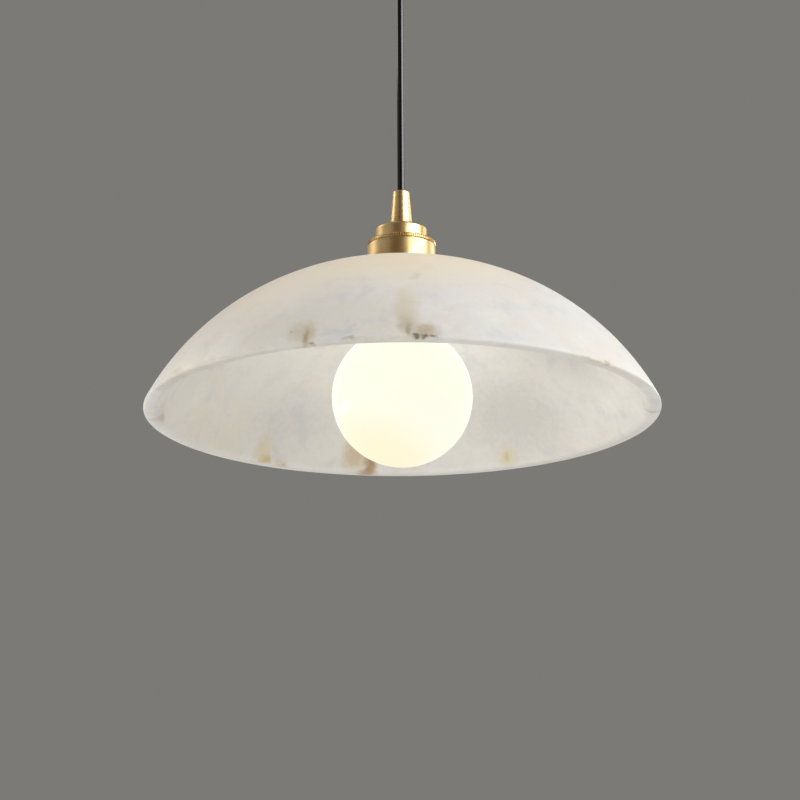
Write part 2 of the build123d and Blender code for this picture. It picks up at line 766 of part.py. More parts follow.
def make_bulb_cap():
    rim_top = bulb_cap_rim + bulb_cap_rim_height
    middle = bulb_cap_radius - thread_wave
    thread_top = rim_top + thread_turns * thread_pitch
    shoulder = bulb_tip_level - tip_height - insulator_height
    wall = bulb_cap_wall
    rim = bulb_cap_rim_radius
    rim_bend = rim_top - bulb_cap_rim_bend
    outline = [
        line((rim - wall, bulb_cap_rim), (rim, bulb_cap_rim), (rim, rim_bend), (middle, rim_top)),
        *waves(middle, thread_wave, rim_top, thread_turns),
        line(
            (middle, thread_top), (insulator_radius, shoulder), (insulator_radius - wall, shoulder),
            (middle - wall, thread_top)
        ),
        *waves(middle - wall, thread_wave, rim_top, thread_turns),
        line((middle - wall, rim_top), (rim - wall, rim_bend), (rim - wall, bulb_cap_rim)),
    ]
    parts["bulb_screw_cap"] = turned(*outline)
    tip_base = bulb_tip_level - tip_height
    parts["bulb_insulator"] = cone(insulator_radius, tip_radius, shoulder, tip_base)
    tip = rod(tip_radius, tip_base, bulb_tip_level)
    parts["bulb_tip_contact"] = fillet(tip.edges().sort_by(Axis.Z)[-1], tip_height / 2)


def make_bulb_inside():
    mount_base = bulb_cap_rim - led_mount_height
    mount = rod(led_mount_radius, mount_base, bulb_cap_rim)
    # A flange seats the mount on the glass's upper edge, inside the cap's rim.
    mount += rod(bulb_cap_rim_radius - bulb_cap_wall - slip, bulb_cap_rim, mount_top)
    parts["led_mount"] = mount
    board_base = mount_base - led_board_thickness
    parts["led_board"] = rod(led_board_radius, board_base, mount_base)
    chips = []
    for number in range(led_chip_count):
        angle = 360 * number / led_chip_count
        chip = Pos(led_chip_circle, 0, board_base - led_chip_height / 2) * Box(
            led_chip_size, led_chip_size, led_chip_height
        )
        chips.append(Rot(0, 0, angle) * chip)
    parts["led_chips"] = Compound(chips)
    half = driver_board_width / 2
    face = driver_board_thickness / 2
    parts["driver_board"] = block(-half, half, -face, face, mount_top, mount_top + driver_board_height)
    parts["driver_capacitor"] = rod(
        capacitor_radius, mount_top, mount_top + capacitor_length, 0, face + capacitor_radius
    )


def make_all():
    make_bracket()
    make_canopy()
    make_ceiling_grip()
    make_strain_clamp()
    make_terminal_block()
    make_ceiling_leads()
    make_cord()
    make_lamp_grip()
    make_cap_and_collar()
    make_shade()
    make_lower_clamp()
    make_holder()
    make_lamp_leads()
    make_bulb()


make_all()
os.makedirs("parts", exist_ok=True)
for name, shape in parts.items():
    export_step(shape, f"parts/{name}.step")
print(f"{len(parts)} nodes, rim at z = {rim_level:.1f}, bulb down to z = {globe_centre - globe_radius:.1f}")
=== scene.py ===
import bmesh
import bpy
import json
import math
from mathutils import Matrix, Vector, noise as noiseField


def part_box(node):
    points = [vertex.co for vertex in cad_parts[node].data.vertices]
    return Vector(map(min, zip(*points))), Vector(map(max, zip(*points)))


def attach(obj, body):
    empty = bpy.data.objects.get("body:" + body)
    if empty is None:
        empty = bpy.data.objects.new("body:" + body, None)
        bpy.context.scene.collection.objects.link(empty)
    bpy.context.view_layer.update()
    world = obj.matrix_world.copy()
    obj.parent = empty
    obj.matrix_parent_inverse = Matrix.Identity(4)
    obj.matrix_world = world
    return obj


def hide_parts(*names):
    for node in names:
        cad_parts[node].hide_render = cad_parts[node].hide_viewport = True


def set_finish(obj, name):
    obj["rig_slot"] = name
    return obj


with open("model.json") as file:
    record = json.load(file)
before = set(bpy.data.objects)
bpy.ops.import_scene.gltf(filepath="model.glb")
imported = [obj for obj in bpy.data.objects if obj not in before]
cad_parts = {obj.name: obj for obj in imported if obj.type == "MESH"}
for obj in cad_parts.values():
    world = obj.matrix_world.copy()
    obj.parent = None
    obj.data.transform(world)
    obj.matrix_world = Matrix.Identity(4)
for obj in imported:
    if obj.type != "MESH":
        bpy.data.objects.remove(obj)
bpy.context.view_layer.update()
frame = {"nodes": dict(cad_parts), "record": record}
print("frame loaded,", len(frame["nodes"]), "nodes")

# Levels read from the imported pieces, metres
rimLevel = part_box("alabaster_shade")[0].z
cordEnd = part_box("pendant_cord")[0].z
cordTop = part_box("pendant_cord")[1].z

mm = 0.001
weld = 1e-6  # points closer than this are merged, metres


def colour(code):
    # sRGB hex to linear
    def linear(part):
        part /= 255
        return part / 12.92 if part <= 0.04045 else ((part + 0.055) / 1.055) ** 2.4
    return [linear(int(code[start:start + 2], 16)) for start in (1, 3, 5)] + [1.0]


def addNode(tree, kind, settings=None, **links):
    # links: socket name, with _ for a space, to a value or to another node's output
    node = tree.nodes.new(kind)
    for name, value in (settings or {}).items():
        setattr(node, name, value)
    for name, value in links.items():
        key = int(name[1:]) if name[0] == "n" and name[1:].isdigit() else name.replace("_", " ")
        socket = node.inputs[key]
        if isinstance(value, bpy.types.NodeSocket):
            tree.links.new(value, socket)
        else:
            socket.default_value = value
    return node


def newMaterial(name):
    material = bpy.data.materials.new(name)
    material.use_nodes = True
    tree = material.node_tree
    tree.nodes.clear()
    shader = addNode(tree, "ShaderNodeBsdfPrincipled")
    addNode(tree, "ShaderNodeOutputMaterial", Surface=shader.outputs[0])
    place = addNode(tree, "ShaderNodeTexCoord").outputs["Object"]
    return material, tree, shader, place


eased = {"interpolation_type": "SMOOTHSTEP"}
inColour = {"data_type": "RGBA"}


def setSocket(tree, shader, name, value):
    socket = shader.inputs[name]
    if isinstance(value, bpy.types.NodeSocket):
        tree.links.new(value, socket)
    else:
        socket.default_value = value


def layOver(tree, under, mask, low, high, share, code):
    # Lays a colour over another where the mask rises from low to high, up to the given share
    fade = addNode(tree, "ShaderNodeMapRange", eased, Value=mask, From_Min=low, From_Max=high, To_Min=0.0,
                   To_Max=share)
    mixed = addNode(tree, "ShaderNodeMix", inColour, n0=fade.outputs[0], n6=under, n7=colour(code))
    return mixed.outputs[2]


def varyRoughness(tree, shader, mask, low, high, least, most):
    reach = addNode(tree, "ShaderNodeMapRange", eased, Value=mask, From_Min=low, From_Max=high, To_Min=least,
                    To_Max=most)
    setSocket(tree, shader, "Roughness", reach.outputs[0])


# Camera: below the lamp, looking up at the rim; metres and degrees, the lens in millimetres
view = {"target": Vector((0, 0, rimLevel)), "distance": 1.7, "elevation": -15.29, "roll": -0.3,
        "lens": 113.55, "shiftX": -0.0030, "shiftY": 0.0185}


def makeCamera():
    tilt = math.radians(view["elevation"])
    back = Vector((0, -math.cos(tilt), math.sin(tilt)))
    data = bpy.data.cameras.new("camera")
    data.lens = view["lens"]
    data.sensor_width = 36
    data.shift_x = view["shiftX"]
    data.shift_y = view["shiftY"]
    data.clip_start = 0.05
    data.clip_end = 40
    camera = bpy.data.objects.new("camera", data)
    bpy.context.scene.collection.objects.link(camera)
    camera.rotation_mode = "QUATERNION"
    camera.location = view["target"] + back * view["distance"]
    roll = Matrix.Rotation(math.radians(view["roll"]), 3, "Z").to_quaternion()
    camera.rotation_quaternion = (-back).to_track_quat("-Z", "Y") @ roll
    bpy.context.scene.camera = camera


makeCamera()
print("camera placed")

# Cord: a 5.4 mm round flex, pulled straight by the lamp's weight
cord = {
    "radius": 2.7 * mm, "bevelSteps": 8, "lengthSteps": 12, "straightEnd": 12, "colour": "#08090A",
    "pale": "#0D0E10", "grainSize": 1.2 * mm, "leastRough": 0.06, "mostRough": 0.10, "ior": 1.55,
    "shine": 0.34, "grainStrength": 0.04, "grainDepth": 0.1 * mm,
}


def makeCord():
    step = cord["straightEnd"] * cord["radius"]
    top = cordTop - cord["radius"]
    data = bpy.data.curves.new("blackCord", "CURVE")
    data.dimensions = "3D"
    data.bevel_depth = 1.0  # the points carry the radius
    data.bevel_resolution = cord["bevelSteps"]
    data.use_fill_caps = True
    line = data.splines.new("NURBS")
    levels = [cordEnd, cordEnd + step, top - step, top]
    line.points.add(len(levels) - 1)
    for point, level in zip(line.points, levels):
        point.co = (0, 0, level, 1)
        point.radius = cord["radius"]
    line.order_u = 3
    line.use_endpoint_u = True
    line.resolution_u = cord["lengthSteps"]
    piece = bpy.data.objects.new("blackCord", data)
    bpy.context.scene.collection.objects.link(piece)
    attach(piece, "cord")
    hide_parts("pendant_cord")
    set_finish(piece, "black_cord")
    return piece


blackCord = makeCord()
print("cord made")

# A pale floor far below, a grey wall all round and a soft even fill
studio = {
    "floorLevel": -2.4, "floorSize": 14.0, "floorColour": "#CFCECA", "floorWorn": "#CBCAC6",
    "floorCloud": 0.35, "floorRoughness": 0.9, "backdropColour": "#7B7A76", "fillColour": "#F3F1EE",
    "fillStrength": 0.56, "mirrorColour": "#A39E97", "darkCorner": (-0.16, -0.92, 0.36),
    "darkColour": "#5A4430", "darkFrom": 0.80, "darkTo": 0.97,
}

# Lamps: turn from the camera's side towards the right and lift above the rim in degrees, size in metres
lamps = {
    "key": {"turn": 58, "lift": 28, "away": 2.1, "size": (2.1, 0.45), "power": 28, "colour": "#FAFCFF"},
    "left": {"turn": -112, "lift": 8, "away": 2.2, "size": (1.1, 1.0), "power": 10.5, "colour": "#FFF8EF"},
    "leftHigh": {"turn": -114, "lift": 34, "away": 2.2, "size": (1.1, 0.4), "power": 6, "colour": "#FFF8EF"},
    "back": {"turn": 128, "lift": 20, "away": 2.4, "size": (1.0, 1.2), "power": 8, "colour": "#FFFDF9"},
    "below": {"turn": 0, "lift": -85, "away": 1.9, "size": (1.3, 1.3), "power": 7.1, "colour": "#EEF3FF"},
    "side": {"turn": -75, "lift": -30, "away": 2.0, "size": (0.8, 0.5), "power": 11.6, "colour": "#FFFDF9"},
    "rightLow": {"turn": 84, "lift": -24, "away": 2.0, "size": (0.8, 0.5), "power": 2.5, "colour": "#FFFDF9"},
}
unmirrored = ("below", "side", "rightLow")  # these light the stone and don't show in the brass


def makeStudio():
    mesh = bmesh.new()
    bmesh.ops.create_grid(mesh, x_segments=1, y_segments=1, size=studio["floorSize"] / 2)
    bmesh.ops.translate(mesh, vec=(0, 0, studio["floorLevel"]), verts=mesh.verts)
    floor = meshObject("floor", mesh)
    material, tree, shader, place = newMaterial("matt floor paint")
    cloud = addNode(tree, "ShaderNodeTexNoise", Vector=place, Scale=1 / studio["floorCloud"], Detail=4.0)
    tone = layOver(tree, colour(studio["floorColour"]), cloud.outputs[0], 0.3, 0.7, 1.0, studio["floorWorn"])
    setSocket(tree, shader, "Base Color", tone)
    setSocket(tree, shader, "Roughness", studio["floorRoughness"])
    floor.data.materials.append(material)
    for name, facts in lamps.items():
        addLamp(name, facts)
    lightWorld()
    bpy.context.scene.view_settings.view_transform = "Standard"


def lightWorld():
    # The camera and mirrors see a grey wall, darker behind the camera; the object gets a soft even fill
    world = bpy.context.scene.world or bpy.data.worlds.new("studio")
    bpy.context.scene.world = world
    world.use_nodes = True
    tree = world.node_tree
    tree.nodes.clear()
    ray = addNode(tree, "ShaderNodeLightPath").outputs
    way = addNode(tree, "ShaderNodeTexCoord").outputs["Generated"]
    wall = colour(studio["backdropColour"])
    corner = Vector(studio["darkCorner"]).normalized()
    near = addNode(tree, "ShaderNodeVectorMath", {"operation": "DOT_PRODUCT"}, n0=way, n1=corner)
    shaded = layOver(tree, colour(studio["mirrorColour"]), near.outputs["Value"], studio["darkFrom"],
                     studio["darkTo"], 1.0, studio["darkColour"])
    mirrored = addNode(tree, "ShaderNodeMix", inColour, n0=ray["Is Glossy Ray"], n6=wall, n7=shaded)
    seen = addNode(tree, "ShaderNodeMath", {"operation": "MAXIMUM"}, n0=ray["Is Camera Ray"],
                   n1=ray["Is Glossy Ray"])
    seen = addNode(tree, "ShaderNodeMath", {"operation": "MAXIMUM"}, n0=seen.outputs[0],
                   n1=ray["Is Transmission Ray"])
    fill = addNode(tree, "ShaderNodeBackground", Color=colour(studio["fillColour"]),
                   Strength=studio["fillStrength"])
    back = addNode(tree, "ShaderNodeBackground", Color=mirrored.outputs[2], Strength=1.0)
    both = addNode(tree, "ShaderNodeMixShader", n0=seen.outputs[0], n1=fill.outputs[0], n2=back.outputs[0])
    addNode(tree, "ShaderNodeOutputWorld", Surface=both.outputs[0])


def addLamp(name, facts):
    turn, lift = math.radians(facts["turn"]), math.radians(facts["lift"])
    way = Vector((math.sin(turn) * math.cos(lift), -math.cos(turn) * math.cos(lift), math.sin(lift)))
    data = bpy.data.lights.new(name, "AREA")
    data.shape = "RECTANGLE"
    data.size, data.size_y = facts["size"]
    data.energy = facts["power"]
    data.color = colour(facts["colour"])[:3]
    lamp = bpy.data.objects.new(name, data)
    bpy.context.scene.collection.objects.link(lamp)
    lamp.visible_camera = False
    lamp.visible_glossy = name not in unmirrored
    lamp.location = view["target"] + way * facts["away"]
    lamp.rotation_mode = "QUATERNION"
    lamp.rotation_quaternion = (-way).to_track_quat("-Z", "Y")


def meshObject(name, mesh, smooth=False):
    data = bpy.data.meshes.new(name)
    mesh.to_mesh(data)
    mesh.free()
    if smooth:
        for face in data.polygons:
            face.use_smooth = True
    piece = bpy.data.objects.new(name, data)
    bpy.context.scene.collection.objects.link(piece)
    return piece


makeStudio()
print("studio lit")


# Alabaster: turned from one block and honed, so it looks soft, cloudy and faintly see-through
stone = {
    "base": "#E6E4E0", "warm": "#E5DFD2", "cool": "#CDD1D5", "milk": "#EFEEEB",
    "cloudSize": 75 * mm, "milkSize": 45 * mm, "patchSize": 20 * mm, "grainSize": 3.5 * mm,
    "warpSize": 12 * mm, "warpReach": 6 * mm, "leastRough": 0.42, "mostRough": 0.55, "ior": 1.52,
    "glowShare": 0.5, "glowReach": (1.0, 0.85, 0.7), "glowDepth": 12 * mm, "poreStrength": 0.12,
    "poreDepth": 0.4 * mm,
    "rimRadius": 175.0 * mm, "height": 100.4 * mm, "wall": 9.3 * mm, "seat": 24.0 * mm,
    "innerSeat": 30.0 * mm, "bore": 20.5 * mm, "outsideRound": 2.9 * mm, "insideRound": 3.2 * mm,
    "roundSteps": 6, "rows": 34, "turns": 300, "unevenness": 0.25 * mm, "unevenSize": 55 * mm, "crisp": 40,
}


def makeStone():
    # One outline from the seat over the rim to the inner seat, spun round the axis
    offAxis = stone["seat"] / 2
    reach, seatReach = stone["rimRadius"] - offAxis, stone["seat"] - offAxis
    centre = (seatReach ** 2 + stone["height"] ** 2 - reach ** 2) / (2 * stone["height"])
    outer = math.hypot(reach, centre)
    inner = outer - stone["wall"]
    pivot = Vector((offAxis, 0, rimLevel + centre))
    topLevel = rimLevel + stone["height"]

    def angleAt(radius, level):
        return math.atan2(level - pivot.z, radius - offAxis)

    def spinArc(vert, low, high):
        made = bmesh.ops.spin(mesh, geom=[vert], cent=pivot, axis=(0, -1, 0), angle=high - low,
                              steps=stone["rows"])
        return made["geom_last"][0]

    def lineTo(vert, radius, level):
        end = mesh.verts.new((radius, 0, level))
        mesh.edges.new((vert, end))
        return end

    mesh = bmesh.new()
    outerTop = angleAt(stone["seat"], topLevel)
    outerRim = angleAt(stone["rimRadius"], rimLevel)
    start = mesh.verts.new((stone["seat"], 0, topLevel))
    last = spinArc(start, outerTop, outerRim)
    innerRim = offAxis + math.sqrt(inner ** 2 - centre ** 2)
    last = lineTo(last, innerRim, rimLevel)
    innerTop = pivot.z + math.sqrt(inner ** 2 - (stone["innerSeat"] - offAxis) ** 2)
    last = spinArc(last, angleAt(innerRim, rimLevel), angleAt(stone["innerSeat"], innerTop))
    seatLevel = topLevel - stone["wall"]
    last = lineTo(last, stone["innerSeat"], seatLevel)
    last = lineTo(last, stone["bore"], seatLevel)
    last = lineTo(last, stone["bore"], topLevel)
    mesh.edges.new((last, start))
    bmesh.ops.spin(mesh, geom=mesh.verts[:] + mesh.edges[:], cent=(0, 0, 0), axis=(0, 0, 1),
                   angle=2 * math.pi, steps=stone["turns"], use_merge=True)
    bmesh.ops.remove_doubles(mesh, verts=mesh.verts, dist=weld)
    bmesh.ops.recalc_face_normals(mesh, faces=mesh.faces)
    for radius, size in ((stone["rimRadius"], stone["outsideRound"]), (innerRim, stone["insideRound"])):
        ring = [edge for edge in mesh.edges if all(
            abs(v.co.z - rimLevel) < weld and abs(v.co.xy.length - radius) < 10 * weld for v in edge.verts)]
        bmesh.ops.bevel(mesh, geom=ring, offset=size, offset_type="OFFSET", affect="EDGES",
                        segments=stone["roundSteps"], profile=0.5, material=-1)
    mesh.normal_update()
    for vert in mesh.verts:
        if vert.co.xy.length > stone["innerSeat"] + 1 * mm:
            dent = 0.5 + 0.5 * noiseField.noise(vert.co / stone["unevenSize"])
            vert.co -= vert.normal * dent * stone["unevenness"]
    piece = meshObject("alabasterShade", mesh, smooth=True)
    sharpen(piece, stone["crisp"])
    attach(piece, "lamp")
    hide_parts("alabaster_shade")
    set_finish(piece, "alabaster")
    return piece


def sharpen(piece, degrees):
    # Keeps an edge crisp where its two faces meet at more than this turn
    mesh = bmesh.new()
    mesh.from_mesh(piece.data)
    for edge in mesh.edges:
        if len(edge.link_faces) == 2 and edge.calc_face_angle() > math.radians(degrees):
            edge.smooth = False
    mesh.to_mesh(piece.data)
    mesh.free()


# Turned, milled and threaded pieces, each inside the outline of its own part; lengths in millimetres
turning = {
    "steps": 120, "bevelSegments": 3, "toothSamples": 8, "threadRows": 10, "crisp": 20, "threadCrisp": 50,
    "toothRoot": 0.19, "toothFlank": 10, "ringReach": 0.001,
}


def outlineOf(node):
    # The part's outer radius, its lowest and its highest level
    low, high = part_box(node)
    return max(high.x, high.y) / mm, low.z / mm, high.z / mm


def column(radius, low, high, rows):
    return [(radius, low + (high - low) * step / rows) for step in range(rows + 1)]


def turnPiece(name, node, body, outline, steps, rounds=(), shape=None, crisp=turning["crisp"]):
    # Spins a closed outline of radius and level, rounds rings of edges, then shapes every vertex
    mesh = bmesh.new()
    verts = [mesh.verts.new((radius * mm, 0, level * mm)) for radius, level in outline]
    for first, second in zip(verts, verts[1:] + verts[:1]):
        mesh.edges.new((first, second))
    bmesh.ops.spin(mesh, geom=mesh.verts[:] + mesh.edges[:], cent=(0, 0, 0), axis=(0, 0, 1),
                   angle=2 * math.pi, steps=steps, use_merge=True)
    bmesh.ops.remove_doubles(mesh, verts=mesh.verts, dist=weld)
    bmesh.ops.recalc_face_normals(mesh, faces=mesh.faces)
    for radius, level, size in rounds:
        ring = [edge for edge in mesh.edges if all(
            abs(v.co.z / mm - level) < turning["ringReach"]
            and abs(v.co.xy.length / mm - radius) < turning["ringReach"] for v in edge.verts)]
        bmesh.ops.bevel(mesh, geom=ring, offset=size * mm, offset_type="OFFSET", affect="EDGES",
                        segments=turning["bevelSegments"], profile=0.5, material=-1)
    if shape:
        for vert in mesh.verts:
            place = vert.co / mm
            radius, turn = place.xy.length, math.atan2(place.y, place.x)
            wanted = shape(radius, turn, place.z)
            vert.co = Vector((wanted * math.cos(turn), wanted * math.sin(turn), place.z)) * mm
    bmesh.ops.recalc_face_normals(mesh, faces=mesh.faces)
    piece = meshObject(name, mesh, smooth=True)
    sharpen(piece, crisp)
    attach(piece, body)
    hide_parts(node)
    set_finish(piece, slotOf[node])
    return piece


def toothed(count, depth, outer, low, high):
    # Milled teeth with flat crests and flat roots between two levels
    def shape(radius, turn, level):
        if radius < outer - 1.5 * depth or level < low or level > high:
            return radius
        phase = turn / (2 * math.pi) * count % 1
        crest = min(max((abs(phase - 0.5) - turning["toothRoot"]) * turning["toothFlank"], 0), 1)
        return radius - depth * (1 - crest)
    return shape


def hexagonal(across):
    # Cuts a round blank back to six flats
    def shape(radius, turn, level):
        sixth = math.pi / 3
        flat = across / 2 / math.cos((turn + sixth / 2) % sixth - sixth / 2)
        return min(radius, flat)
    return shape


def threaded(depth, pitch, low, high, inner, outward):
    # A right-hand thread between two levels, fading out at both ends
    def shape(radius, turn, level):
        if radius < inner or level < low or level > high:
            return radius
        fade = min(1, (level - low) / (0.5 * pitch), (high - level) / (0.5 * pitch))
        wave = math.sin(2 * math.pi * (level - low) / pitch - turn)
        return radius + depth * fade * (wave if outward else (wave - 1) / 2)
    return shape


milledRing = {"bore": 17.0, "teeth": 90, "toothDepth": 0.95, "lip": 0.35, "undercut": 0.7, "chamfer": 0.35}


def makeMilledRing():
    # Its lower edge is undercut, which leaves the thin dark line above the collar
    outer, low, high = outlineOf("milled_ring")
    bore, cut, lip = milledRing["bore"], outer - milledRing["undercut"], low + milledRing["lip"]
    outline = [(bore, low), (cut, low), (cut, lip), (outer - 0.15, lip + 0.1)]
    outline += column(outer, lip + 0.3, high - 0.45, 3)
    outline += [(outer - milledRing["chamfer"], high), (bore, high)]
    teeth = toothed(milledRing["teeth"], milledRing["toothDepth"], outer, lip + 0.2, high - 0.1)
    return turnPiece("milledRing", "milled_ring", "lamp", outline,
                     milledRing["teeth"] * turning["toothSamples"], shape=teeth)


jamNut = {"bore": 4.92, "teeth": 32, "toothDepth": 0.5, "chamfer": 0.5, "boreChamfer": 0.3}


def makeJamNut(name, node, body):
    outer, low, high = outlineOf(node)
    bore, edge, lead = jamNut["bore"], jamNut["chamfer"], jamNut["boreChamfer"]
    outline = [(bore + lead, low), (outer - edge, low), (outer, low + 0.4), (outer, high - 0.4),
               (outer - edge, high), (bore + lead, high), (bore, high - lead), (bore, low + lead)]
    teeth = toothed(jamNut["teeth"], jamNut["toothDepth"], outer, low + 0.2, high - 0.2)
    return turnPiece(name, node, body, outline, jamNut["teeth"] * turning["toothSamples"], shape=teeth)


shadeRing = {"bore": 19.52, "teeth": 72, "toothDepth": 0.5, "shoulder": 0.9, "lead": 0.4}


def makeShadeRing():
    outer, low, high = outlineOf("shade_ring")
    bore, step, lead = shadeRing["bore"], shadeRing["shoulder"], shadeRing["lead"]
    outline = [(bore + lead, low), (outer - step, low), (outer - 0.4, low + 0.5), (outer, low + step),
               (outer, high - step), (outer - 0.5, high - 0.4), (outer - 0.5, high), (bore, high),
               (bore, low + lead)]
    teeth = toothed(shadeRing["teeth"], shadeRing["toothDepth"], outer, low + 0.6, high - 0.6)
    return turnPiece("shadeRing", "shade_ring", "lamp", outline, shadeRing["teeth"] * turning["toothSamples"],
                     shape=teeth)


collar = {"wall": 1.6, "top": 2.0, "bore": 17.0, "upperRound": 0.3, "lowerRound": 0.2, "crisp": 10}


def makeCollar():
    outer, low, high = outlineOf("collar")
    inside, ceiling = outer - collar["wall"], high - collar["top"]
    outline = [(inside, low), (outer, low), (outer, high), (collar["bore"], high), (collar["bore"], ceiling),
               (inside, ceiling)]
    rounds = [(outer, high, collar["upperRound"]), (outer, low, collar["lowerRound"]),
              (inside, low, collar["lowerRound"])]
    return turnPiece("collarCup", "collar", "lamp", outline, turning["steps"], rounds=rounds,
                     crisp=collar["crisp"])


locknut = {"across": 14.0, "bore": 4.92, "chamfer": 0.6, "boreChamfer": 0.3}


def makeLocknut(name, node, body):
    across, low, high = locknut["across"], outlineOf(node)[1], outlineOf(node)[2]
    corner, rise = across / math.sqrt(3), locknut["chamfer"]
    bore, lead = locknut["bore"], locknut["boreChamfer"]
    reach = [(across / 2 + (corner - across / 2) * step / 4, rise * step / 4) for step in range(5)]
    outline = [(bore + lead, low), (across / 2 - 0.2, low)] + [(radius, low + up) for radius, up in reach]
    outline += [(radius, high - up) for radius, up in reach[::-1]]
    outline += [(across / 2 - 0.2, high), (bore + lead, high), (bore, high - lead), (bore, low + lead)]
    return turnPiece(name, node, body, outline, turning["steps"], shape=hexagonal(across))


nipple = {"bore": 3.6, "pitch": 1.0, "threadDepth": 0.5, "chamfer": 0.4, "boreChamfer": 0.2, "steps": 48}


def makeNipple(name, node, body):
    # A hollow rod with a fine thread along its whole length
    outer, low, high = outlineOf(node)
    bore, edge, lead, pitch = nipple["bore"], nipple["chamfer"], nipple["boreChamfer"], nipple["pitch"]
    rows = round((high - low - 2 * edge) / pitch * turning["threadRows"])
    outline = [(bore + lead, low), (outer - edge, low)] + column(outer, low + edge, high - edge, rows)
    outline += [(outer - edge, high), (bore + lead, high), (bore, high - lead), (bore, low + lead)]
    thread = threaded(nipple["threadDepth"], pitch, low + 0.3, high - 0.3, outer - 0.1, False)
    return turnPiece(name, node, body, outline, nipple["steps"], shape=thread, crisp=turning["threadCrisp"])


sleeve = {"wall": 1.2, "lip": 1.0, "mouth": 14.8, "neck": 16.98, "pitch": 1.5, "threadDepth": 0.5,
          "threadHeight": 27.0, "neckRound": 0.3}


def makeSleeve():
    # The holder's outer sleeve: threaded for the shade's clamping ring, a narrower neck in the cap
    outer, low, high = outlineOf("holder_sleeve")
    wall, neck, mouth, lip = sleeve["wall"], sleeve["neck"], sleeve["mouth"], low + sleeve["lip"]
    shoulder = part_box("collar")[1].z / mm - collar["top"]
    threadTop = low + sleeve["threadHeight"]
    rows = round((threadTop - low - 0.5) / sleeve["pitch"] * turning["threadRows"])
    outline = [(mouth, low), (outer - 0.5, low)] + column(outer, low + 0.5, threadTop, rows)
    outline += [(outer, shoulder), (neck, shoulder), (neck, high), (neck - wall, high)]
    outline += [(neck - wall, shoulder - wall), (outer - wall, shoulder - wall), (outer - wall, lip)]
    outline += [(mouth, lip)]
    thread = threaded(sleeve["threadDepth"], sleeve["pitch"], low + 0.4, threadTop, outer - 0.1, False)
    return turnPiece("holderSleeve", "holder_sleeve", "lamp", outline, turning["steps"],
                     rounds=[(neck, high, sleeve["neckRound"])], shape=thread, crisp=turning["threadCrisp"])


bulbCap = {"wall": 0.4, "rimHeight": 2.0, "bend": 0.7, "middle": 12.7, "crown": 11.0, "pitch": 3.629,
           "turns": 5, "threadDepth": 0.5, "rowsPerTurn": 14, "topGap": 0.05}


def makeBulbCap():
    # A rolled screw cap: the sheet waves in a right-hand thread between the rim and the shoulder
    outer, low, high = outlineOf("bulb_screw_cap")
    wall, middle, crown = bulbCap["wall"], bulbCap["middle"], bulbCap["crown"]
    high -= bulbCap["topGap"]  # just clear of the insulator
    start = low + bulbCap["rimHeight"]
    top = start + bulbCap["turns"] * bulbCap["pitch"]
    rows = bulbCap["turns"] * bulbCap["rowsPerTurn"]
    outline = [(outer - wall, low), (outer, low), (outer, start - bulbCap["bend"]), (middle + 0.1, start)]
    outline += column(middle, start + 0.1, top, rows) + [(crown, high), (crown - wall, high)]
    outline += column(middle - wall, start + 0.1, top, rows)[::-1] + [(outer - wall, start - bulbCap["bend"])]
    thread = threaded(bulbCap["threadDepth"], bulbCap["pitch"], start, top, crown + 0.2, True)
    return turnPiece("bulbScrewCap", "bulb_screw_cap", "bulb", outline, turning["steps"], shape=thread,
                     crisp=turning["threadCrisp"])


